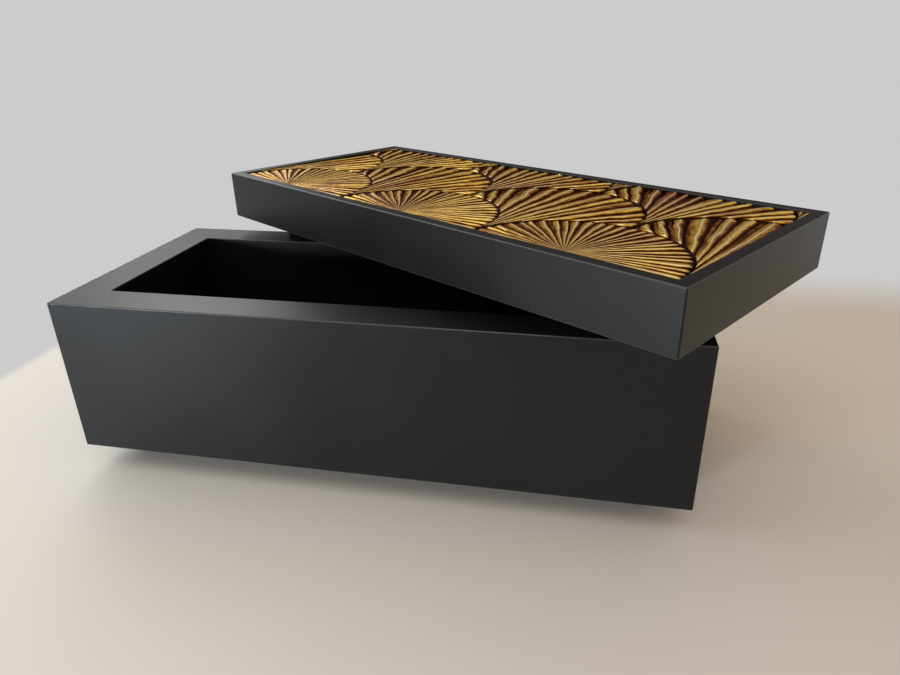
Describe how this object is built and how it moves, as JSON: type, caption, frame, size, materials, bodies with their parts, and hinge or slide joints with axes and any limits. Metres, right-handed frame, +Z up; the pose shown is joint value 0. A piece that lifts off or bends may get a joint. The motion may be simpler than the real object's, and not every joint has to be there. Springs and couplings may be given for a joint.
{
  "type": "decorative box",
  "caption": "Black lacquered box with thick walls, a set-back plinth and a thick lift-off lid inlaid with a gilded relief of ridged fans, the lid lying askew.",
  "frame": {"origin": "on the floor, under the middle of the box, at the centre of the felt on its base", "axes": "+X along the box, +Y from its front to its back, +Z up"},
  "size_m": [0.3529, 0.2752, 0.1276],
  "materials": {
    "black_lacquer": "satin black lacquer over wood",
    "inner_lacquer": "satin black lacquer over wood",
    "gold_leaf": "carved wood, gold leaf rubbed back in the grooves and coated with clear lacquer",
    "bare_wood": "bare wood",
    "base_felt": "dark felt"
  },
  "bodies": {
    "box": {"base_felt": "base_felt", "box_bottom": "black_lacquer", "box_spline_1": "bare_wood", "box_spline_2": "bare_wood", "box_spline_3": "bare_wood", "box_spline_4": "bare_wood", "box_wall_back": "black_lacquer", "box_wall_front": "black_lacquer", "box_wall_left": "black_lacquer", "box_wall_right": "black_lacquer", "plinth": "black_lacquer"},
    "lid": {"lid_core": "inner_lacquer", "lid_lip_back": "inner_lacquer", "lid_lip_front": "inner_lacquer", "lid_lip_left": "inner_lacquer", "lid_lip_right": "inner_lacquer", "lid_rail_back": "black_lacquer", "lid_rail_front": "black_lacquer", "lid_rail_left": "black_lacquer", "lid_rail_right": "black_lacquer", "lid_spline_1": "bare_wood", "lid_spline_2": "bare_wood", "lid_spline_3": "bare_wood", "lid_spline_4": "bare_wood", "lid_underside": "inner_lacquer", "relief_fan_1_1": "gold_leaf", "relief_fan_1_2": "gold_leaf", "relief_fan_1_3": "gold_leaf", "relief_fan_2_1": "gold_leaf", "relief_fan_2_2": "gold_leaf", "relief_fan_2_3": "gold_leaf", "relief_fan_2_4": "gold_leaf", "relief_fan_3_1": "gold_leaf", "relief_fan_3_2": "gold_leaf", "relief_fan_3_3": "gold_leaf", "relief_fan_4_1": "gold_leaf", "relief_fan_4_2": "gold_leaf", "relief_fan_4_3": "gold_leaf", "relief_fan_4_4": "gold_leaf"}
  },
  "joints": [
    {"name": "lid_lift", "type": "slide", "parent": "box", "child": "lid", "axis": [0, 0, 1], "range_m": [0, 0.12]}
  ]
}
